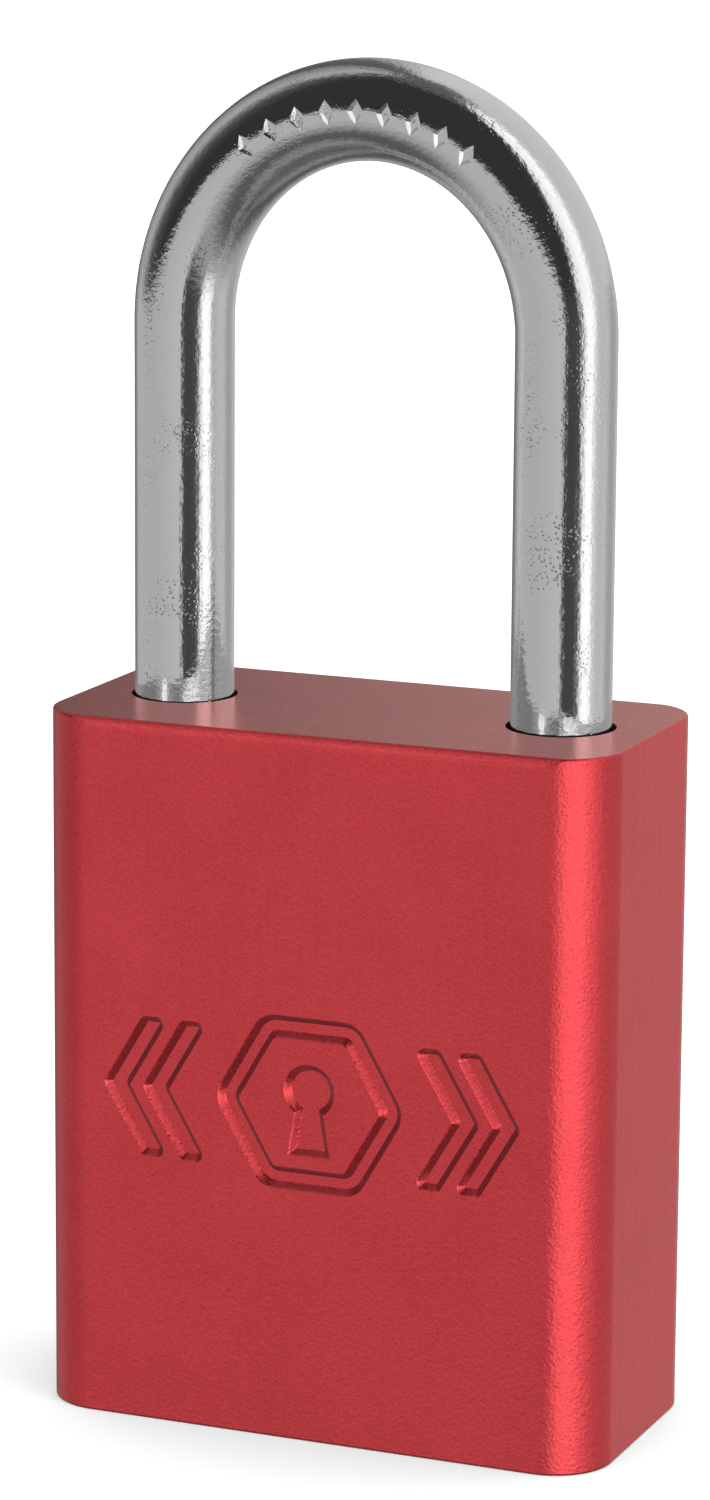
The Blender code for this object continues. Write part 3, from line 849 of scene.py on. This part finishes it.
def cam_radius(angle):
    """The cam clears each ball all the way round its quarter turn, while the ball moves out."""
    clearance = BALL_RADIUS + CAM_CLEARANCE
    radius = CAM_RADIUS
    steps = 60
    for start, near in ((0.0, TOE_BALL_OPEN), (math.pi, HEEL_BALL_OPEN)):
        for step in range(steps + 1):
            centre = near + (BALL_LOCKED - near) * step / steps
            off = angle - start - math.pi / 2 * step / steps
            aside = centre * math.sin(off)
            if math.cos(off) > 0 and abs(aside) < clearance:
                radius = min(radius, centre * math.cos(off) - math.sqrt(clearance ** 2 - aside ** 2))
    return radius


def make_actuator():
    sides = 240
    angles = [2 * math.pi * i / sides for i in range(sides)]
    shares = [(EDGE, -CAM_HALF_HEIGHT), (0, EDGE - CAM_HALF_HEIGHT), (0, CAM_HALF_HEIGHT - EDGE),
              (EDGE, CAM_HALF_HEIGHT)]
    radii = [cam_radius(a) for a in angles]
    rings = [[((r - inset) * math.cos(a), (r - inset) * math.sin(a), BALL_HEIGHT + rise)
              for a, r in zip(angles, radii)] for inset, rise in shares]
    actuator = make_piece("actuator_machined", loft(rings), STEEL)
    narrowest = min(radii)
    stem = min(CAM_STEM_RADIUS, narrowest - 0.1 * MM)
    weld = 0.2 * MM
    combine(actuator, "UNION",
            turned([(stem - EDGE, CAM_STEM_FOOT), (stem, CAM_STEM_FOOT + EDGE),
                    (stem, BALL_HEIGHT - CAM_HALF_HEIGHT + weld)], 96),
            box((-TANG_LENGTH / 2, -TANG_WIDTH / 2, TANG_FOOT),
                (TANG_LENGTH / 2, TANG_WIDTH / 2, CAM_STEM_FOOT + weld)))
    settle(actuator, "actuator")


def pin_height(index):
    return FIRST_PIN + PIN_PITCH * index


def make_shell():
    rim = SHELL_FACE + EDGE
    outer = pear(SHELL_RADIUS, LOBE_HALF_WIDTH, LOBE_REACH, 96)
    inner = pear(SHELL_RADIUS - EDGE, LOBE_HALF_WIDTH - EDGE, LOBE_REACH - EDGE, 96)
    shell = make_piece("cylinder_shell_turned",
                       loft([[(x, y, SHELL_FACE) for x, y in inner], [(x, y, rim) for x, y in outer],
                             [(x, y, SHELL_TOP) for x, y in outer]]), BRASS)
    seat = LOBE_REACH - COVER_THICKNESS - 2 * GAP
    foot = pin_height(0) - 2 * MM
    head = pin_height(PIN_COUNT - 1) + 2 * MM
    chambers = [rod(CHAMBER_RADIUS, (SHELL_BORE - 1 * MM, 0, pin_height(i)), (1, 0, 0), 12 * MM, 40)
                for i in range(PIN_COUNT)]
    cut(shell,
        prism(circle(SHELL_BORE, 96), SHELL_FACE - 1 * MM, SHELL_TOP + 1 * MM),
        turned([(SHELL_COUNTERBORE + EDGE, SHELL_FACE - 1 * MM), (SHELL_COUNTERBORE + EDGE, SHELL_FACE),
                (SHELL_COUNTERBORE, rim), (SHELL_COUNTERBORE, PLUG_HEAD_TOP + GAP)], 96),
        box((seat, -COVER_HALF_WIDTH - GAP, foot - GAP), (LOBE_REACH + 1 * MM, COVER_HALF_WIDTH + GAP, head)),
        prism(circle(SCREW_SHANK_RADIUS + GAP, 40, (LEG_X, 0)), SCREW_TIP - GAP, SHELL_TOP + 1 * MM),
        *chambers)
    settle(shell, "cylinder_shell")


def keyway():
    """The keyway's outline in the turned plug: the pins' side at +Y, two ribs on each side."""
    wide = 0.95 * MM
    narrow = 0.4 * MM
    right = [(wide, -4.7), (wide, -3.5), (narrow, -3.1), (narrow, -2.5), (wide, -2.1), (wide, 0.3),
             (narrow, 0.7), (narrow, 1.3), (wide, 1.7), (wide, 4.2)]
    left = [(wide, 4.2), (wide, -0.3), (narrow, -0.7), (narrow, -1.5), (wide, -1.9), (wide, -4.7)]
    points = [(x, y * MM) for x, y in right] + [(-x, y * MM) for x, y in left]
    return rounded(points, 0.08 * MM, 3)


def make_plug():
    profile = eased([(PLUG_HEAD_RADIUS, PLUG_FACE), (PLUG_HEAD_RADIUS, PLUG_HEAD_TOP),
                     (PLUG_RADIUS, PLUG_HEAD_TOP), (PLUG_RADIUS, SHELL_TOP),
                     (PLUG_GROOVE_RADIUS, SHELL_TOP), (PLUG_GROOVE_RADIUS, PLUG_GROOVE_TOP),
                     (PLUG_TAIL_RADIUS, PLUG_GROOVE_TOP), (PLUG_TAIL_RADIUS, PLUG_TAIL_TOP)])
    plug = make_piece("plug_turned", turned(profile, 96), BRASS)
    chambers = [rod(CHAMBER_RADIUS, (0, 0.8 * MM, pin_height(i)), (0, 1, 0), 7 * MM, 40)
                for i in range(PIN_COUNT)]
    cut(plug,
        prism(keyway(), PLUG_FACE - 1 * MM, KEYWAY_TOP),
        box((-2 * PLUG_TAIL_RADIUS, -TANG_WIDTH / 2 - GAP, TANG_FOOT - GAP),
            (2 * PLUG_TAIL_RADIUS, TANG_WIDTH / 2 + GAP, PLUG_TAIL_TOP + 1 * MM)),
        *chambers)
    settle(plug, "plug")


def make_clip():
    """An open ring round the plug's tail."""
    inner = PLUG_GROOVE_RADIUS + GAP
    middle = (CLIP_OUTER + inner) / 2
    width = (CLIP_OUTER - inner) / 2
    steps = 72
    span = 2 * math.pi - CLIP_OPENING
    angles = [CLIP_OPENING / 2 + span * i / steps for i in range(steps + 1)]
    outline = [(CLIP_OUTER * math.cos(a), CLIP_OUTER * math.sin(a)) for a in angles]
    outline += [(inner * math.cos(a), inner * math.sin(a)) for a in reversed(angles)]
    low = SHELL_TOP + GAP
    clip = make_piece("plug_clip_pressed", prism(outline, low, low + CLIP_THICKNESS), SPRING)
    holes = []
    for angle in (angles[0] + CLIP_HOLE_ANGLE, angles[-1] - CLIP_HOLE_ANGLE):
        centre = (middle * math.cos(angle), middle * math.sin(angle))
        holes.append(prism(circle(width * CLIP_HOLE_SHARE, 24, centre), low - 1 * MM, low + 1 * MM))
    cut(clip, *holes)
    bevel(clip, CLIP_EDGE)
    settle(clip, "plug_clip")


def make_cover():
    low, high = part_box("chamber_cover")
    cover = make_piece("chamber_cover_strip", box(low, high), BRASS)
    bevel(cover)
    settle(cover, "chamber_cover")


def make_screw():
    head_foot = TOE_HOLE_FLOOR + GAP
    root = SCREW_SHANK_RADIUS - SCREW_THREAD_DEPTH
    profile = [(root - SCREW_THREAD_DEPTH, SCREW_TIP), (root, SCREW_TIP + SCREW_THREAD_DEPTH)]
    turns = int((head_foot - 0.6 * MM - profile[-1][1]) / SCREW_THREAD_PITCH)
    for turn in range(turns):
        start = profile[1][1] + turn * SCREW_THREAD_PITCH
        profile.append((SCREW_SHANK_RADIUS, start + SCREW_THREAD_PITCH / 2))
        profile.append((root, start + SCREW_THREAD_PITCH))
    ease = 0.3 * MM
    profile += [(root, head_foot), (SCREW_HEAD_RADIUS - EDGE, head_foot),
                (SCREW_HEAD_RADIUS, head_foot + EDGE), (SCREW_HEAD_RADIUS, SCREW_HEAD_TOP - ease),
                (SCREW_HEAD_RADIUS - ease, SCREW_HEAD_TOP)]
    screw = make_piece("cylinder_screw_socket", turned(profile, 64, (LEG_X, 0)), STEEL)
    cut(screw, prism(circle(SCREW_HEX_RADIUS, 6, (LEG_X, 0)), SCREW_HEAD_TOP - SCREW_HEX_DEPTH,
                     SCREW_HEAD_TOP + 1 * MM))
    settle(screw, "cylinder_screw", 24)


def make_pin(node_name, axis, taper):
    """A turned pin in its node's place, coned at its tip and eased at its other end."""
    low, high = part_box(node_name)
    tip = Vector((low.x, 0, (low.z + high.z) / 2)) if axis[0] else Vector((0, low.y, (low.z + high.z) / 2))
    length = high.x - low.x if axis[0] else high.y - low.y
    steps = 6
    profile = [(PIN_RADIUS - taper, 0.0), (PIN_RADIUS, taper)]
    for step in range(steps + 1):
        angle = math.pi / 2 * step / steps
        profile.append((PIN_RADIUS - PIN_EASE * (1 - math.cos(angle)),
                        length - PIN_EASE * (1 - math.sin(angle))))
    mesh = laid_along(turned(profile, 48), axis, tip)
    settle(make_piece(node_name + "_turned", mesh, PIN_BRASS), node_name)


def wire_coil_tree():
    """Geometry nodes: a round-wire spring along its own axis, with the last turn at each end closed up."""
    tree, ids, given = new_geometry_tree("WireCoil", [("Turns", "Float"), ("Mean Radius", "Float"),
                                                      ("Wire Radius", "Float"), ("Length", "Float"),
                                                      ("Foot", "Vector"), ("Lean", "Vector")])
    spiral = node(tree, "GeometryNodeCurveSpiral", {"Resolution": 28, "Rotations": given["Turns"],
                                                    "Start Radius": given["Mean Radius"],
                                                    "End Radius": given["Mean Radius"], "Height": 0.0})
    share = node(tree, "GeometryNodeSplineParameter").outputs["Factor"]
    turn = math_node(tree, "MULTIPLY", share, given["Turns"])
    # the share of a turn that is closed up at each end, and the rise over it in wire radii
    closed = 0.9
    closed_rise = 2.1
    far = math_node(tree, "SUBTRACT", given["Turns"], closed)
    first = share_of(tree, turn, 0.0, closed)
    rise = share_of(tree, turn, closed, far)
    last = share_of(tree, turn, far, given["Turns"])
    beside = math_node(tree, "MULTIPLY", given["Wire Radius"], closed_rise)
    ends = math_node(tree, "MULTIPLY", beside, math_node(tree, "ADD", first, last))
    ends_run = math_node(tree, "MULTIPLY", given["Wire Radius"], 2 * closed_rise + 2)
    open_run = math_node(tree, "SUBTRACT", given["Length"], ends_run)
    height = math_node(tree, "ADD", ends, math_node(tree, "MULTIPLY", rise, open_run))
    height = math_node(tree, "ADD", height, given["Wire Radius"])
    lift = node(tree, "ShaderNodeCombineXYZ", {"Z": height}).outputs[0]
    wound = node(tree, "GeometryNodeSetPosition", {"Geometry": spiral.outputs[0], "Offset": lift})
    wire = node(tree, "GeometryNodeCurvePrimitiveCircle", {"Resolution": 12, "Radius": given["Wire Radius"]})
    drawn = node(tree, "GeometryNodeCurveToMesh",
                 {"Curve": wound.outputs[0], "Profile Curve": wire.outputs[0], "Fill Caps": True})
    laid = node(tree, "GeometryNodeTransform",
                {"Geometry": drawn.outputs[0], "Translation": given["Foot"], "Rotation": given["Lean"]})
    close_tree(tree, laid.outputs[0], SPRING)
    return tree, ids


def make_spring(tree, ids, node_name, wound, length, foot, lean):
    spring = make_piece(node_name + "_wound", bmesh.new(), SPRING)
    apply_tree(spring, tree, ids, {**wound, "Length": length, "Foot": foot, "Lean": lean})
    turn_outwards(spring)
    settle(spring, node_name, 50)


def turn_outwards(target):
    mesh = bmesh.new()
    mesh.from_mesh(target.data)
    bmesh.ops.recalc_face_normals(mesh, faces=mesh.faces[:])
    mesh.to_mesh(target.data)
    mesh.free()


def make_springs():
    tree, ids = wire_coil_tree()
    low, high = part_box("shackle_spring")
    make_spring(tree, ids, "shackle_spring", SHACKLE_SPRING, high.z - low.z, (-LEG_X, 0.0, low.z),
                (0.0, 0.0, 0.0))
    for index in range(PIN_COUNT):
        node_name = f"pin_spring_{index + 1}"
        low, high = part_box(node_name)
        make_spring(tree, ids, node_name, PIN_SPRING, high.x - low.x, (low.x, 0.0, pin_height(index)),
                    (0.0, math.pi / 2, 0.0))


def make_works():
    make_balls()
    make_actuator()
    make_shell()
    make_plug()
    make_clip()
    make_cover()
    make_screw()
    make_springs()
    for number in range(1, PIN_COUNT + 1):
        make_pin(f"key_pin_{number}", (0, 1, 0), KEY_PIN_TAPER)
        make_pin(f"driver_pin_{number}", (1, 0, 0), DRIVER_PIN_TAPER)


# ---- studio ----

CAMERA_AZIMUTH = math.radians(22.64)
CAMERA_ELEVATION = math.radians(11.86)
CAMERA_ROLL = math.radians(0.40)
CAMERA_DISTANCE = 326.2 * MM
CAMERA_TARGET = Vector((-1.01, 0.0, 42.78)) * MM
LENS = 123.7
SENSOR = 36.0


def make_camera():
    data = bpy.data.cameras.new("camera")
    data.sensor_width = SENSOR
    data.lens = LENS
    data.clip_start = 0.01
    camera = bpy.data.objects.new("camera", data)
    back = Vector((math.sin(CAMERA_AZIMUTH) * math.cos(CAMERA_ELEVATION),
                   -math.cos(CAMERA_AZIMUTH) * math.cos(CAMERA_ELEVATION), math.sin(CAMERA_ELEVATION)))
    right = Vector((math.cos(CAMERA_AZIMUTH), math.sin(CAMERA_AZIMUTH), 0))
    up = back.cross(right)
    turned_right = right * math.cos(CAMERA_ROLL) + up * math.sin(CAMERA_ROLL)
    turned_up = back.cross(turned_right)
    pose = Matrix((turned_right, turned_up, back)).transposed().to_4x4()
    pose.translation = CAMERA_TARGET + back * CAMERA_DISTANCE
    camera.matrix_world = pose
    bpy.context.collection.objects.link(camera)
    bpy.context.scene.camera = camera


def ramp(tree, factor, stops):
    made = node(tree, "ShaderNodeValToRGB", {0: factor})
    elements = made.color_ramp.elements
    elements[0].position, elements[1].position = stops[0][0], stops[-1][0]
    for position, _ in stops[1:-1]:
        elements.new(position)
    for element, (_, level) in zip(elements, stops):
        element.color = (level, level, level, 1)
    return made.outputs[0]


# The studio's walls as the metal mirrors them: brightness at each bearing, in degrees right of the lens
LOW_WALL = [(-180, 0.30), (-160, 0.16), (-145, 0.26), (-133, 0.50), (-98, 0.50), (-72, 0.49), (-41, 0.52),
            (-11, 0.58), (-7, 0.50), (-3, 0.08), (6, 0.06), (24, 0.07), (31, 0.16), (38, 0.8), (44, 1.25),
            (58, 1.25), (68, 0.70), (82, 0.56), (100, 0.60), (118, 0.40), (135, 0.42), (150, 0.56),
            (170, 0.50), (180, 0.30)]
HIGH_WALL = [(-180, 0.36), (-175, 0.14), (-162, 0.10), (-150, 0.30), (-125, 0.46), (-112, 0.22),
             (-100, 0.08), (-80, 0.035), (20, 0.035), (28, 0.10), (34, 1.0), (60, 1.25), (70, 0.72),
             (82, 0.60), (150, 0.66), (170, 0.66), (180, 0.38)]
# How high the low wall reaches at each bearing, as the sine of its height
RIM = [(-180, -0.02), (-90, -0.07), (-60, -0.02), (-48, 0.06), (180, 0.06)]
RIM_SOFTNESS = 0.05
# Brightness of what lies below the block, from straight down to the walls' foot
FLOOR_GLOW = [(0.0, 0.26), (0.05, 0.26), (0.09, 0.10), (0.15, 0.13), (0.22, 0.34), (0.34, 0.50), (1.0, 0.50)]
ZENITH = [(0.0, 0.0), (0.95, 0.0), (0.99, 1.0), (1.0, 1.0)]
# Lights that only the block catches: bearing right of the lens, height and spread in degrees, and power
BLOCK_LIGHTS = [("front_fill", -46, -2, 50, 0.10), ("corner_light", 16, -8, 50, 1.05),
                ("side_fill", 134, -12, 40, 0.03), ("edge_light", -50, 37, 40, 0.24),
                ("roll_light", -46, 12, 14, 0.10), ("crest_light", -110, 60, 40, 0.14)]


def ring_ramp(tree, around, levels):
    return ramp(tree, around, [((bearing + 180) / 360, level) for bearing, level in levels])


def make_studio():
    """A white room to the eye. What the metal mirrors is a studio: pale low walls, a dark cloth above and
    behind the lens, a bright soft box to its right and a grey floor."""
    world = bpy.data.worlds.new("studio")
    bpy.context.scene.world = world
    world.use_nodes = True
    tree = world.node_tree
    sight = node(tree, "ShaderNodeTexCoord").outputs["Generated"]
    turn = node(tree, "ShaderNodeMapping",
                {"Vector": sight, "Rotation": (0, 0, math.pi / 2 - CAMERA_AZIMUTH)}).outputs[0]
    around = node(tree, "ShaderNodeTexGradient", {"Vector": turn}, gradient_type="RADIAL").outputs[1]
    height = node(tree, "ShaderNodeSeparateXYZ", {0: sight}).outputs[2]
    rim = math_node(tree, "SUBTRACT", ring_ramp(tree, around, [(b, h + 0.5) for b, h in RIM]), 0.5)
    above = math_node(tree, "SUBTRACT", height, rim)
    high_share = share_of(tree, above, -RIM_SOFTNESS, RIM_SOFTNESS, interpolation_type="SMOOTHSTEP")
    wall = mix_colour(tree, high_share, ring_ramp(tree, around, LOW_WALL),
                      ring_ramp(tree, around, HIGH_WALL))
    zenith = mix_colour(tree, ramp(tree, height, ZENITH), wall, (0.12, 0.12, 0.12, 1))
    floor_glow = ramp(tree, share_of(tree, height, -1.0, 1.0), FLOOR_GLOW)
    mirrored = mix_colour(tree, share_of(tree, height, -0.30, -0.50), zenith, floor_glow)
    path = node(tree, "ShaderNodeLightPath").outputs
    twice = math_node(tree, "GREATER_THAN", path["Ray Depth"], 2.5)
    again = mix_colour(tree, 0.40, mirrored, (1.05, 1.05, 1.05, 1))
    mirrored = mix_colour(tree, twice, mirrored, again)
    glow = tree.nodes["Background"]
    tree.links.new(mix_colour(tree, path["Is Camera Ray"], mirrored, (1, 1, 1, 1)), glow.inputs["Color"])
    glow.inputs["Strength"].default_value = 1.0


def towards(bearing, height):
    """A direction out from the block: degrees right of the lens, and degrees up."""
    angle = CAMERA_AZIMUTH + math.radians(bearing)
    lift = math.radians(height)
    return Vector((math.sin(angle) * math.cos(lift), -math.cos(angle) * math.cos(lift), math.sin(lift)))


def block_light(name, bearing, height, spread, power, lit):
    """A soft light that the block alone catches."""
    data = bpy.data.lights.new(name, "SUN")
    data.angle = math.radians(spread)
    data.energy = power
    lamp = bpy.data.objects.new(name, data)
    lamp.rotation_euler = towards(bearing, height).to_track_quat("Z", "Y").to_euler()
    lamp.light_linking.receiver_collection = lit
    bpy.context.collection.objects.link(lamp)


def light_block(block):
    lit = bpy.data.collections.new("block_lit")
    lit.objects.link(block)
    for name, bearing, height, spread, power in BLOCK_LIGHTS:
        block_light(name, bearing, height, spread, power, lit)


def make_sky_light():
    """An even soft light from above, which lights the floor but isn't mirrored in the metal."""
    data = bpy.data.lights.new("sky_light", "SUN")
    data.angle = math.radians(100)
    data.energy = 3.6
    lamp = bpy.data.objects.new("sky_light", data)
    lamp.rotation_euler = (math.radians(8), 0, math.radians(20))
    lamp.visible_glossy = False
    bpy.context.collection.objects.link(lamp)


def make_floor():
    mat = bpy.data.materials.new("pale_floor")
    mat.use_nodes = True
    shader = mat.node_tree.nodes["Principled BSDF"]
    shader.inputs["Base Color"].default_value = (0.93, 0.93, 0.93, 1)
    shader.inputs["Roughness"].default_value = 0.9
    shader.inputs["Specular IOR Level"].default_value = 0.1
    mesh = bmesh.new()
    bmesh.ops.create_circle(mesh, cap_ends=True, segments=96, radius=4.0)
    floor = make_piece("floor", mesh, mat)
    floor.visible_glossy = False


bpy.context.scene.view_settings.view_transform = "Standard"
make_camera()
make_studio()
make_sky_light()
make_floor()
light_block(make_block())
make_shackle()
make_works()
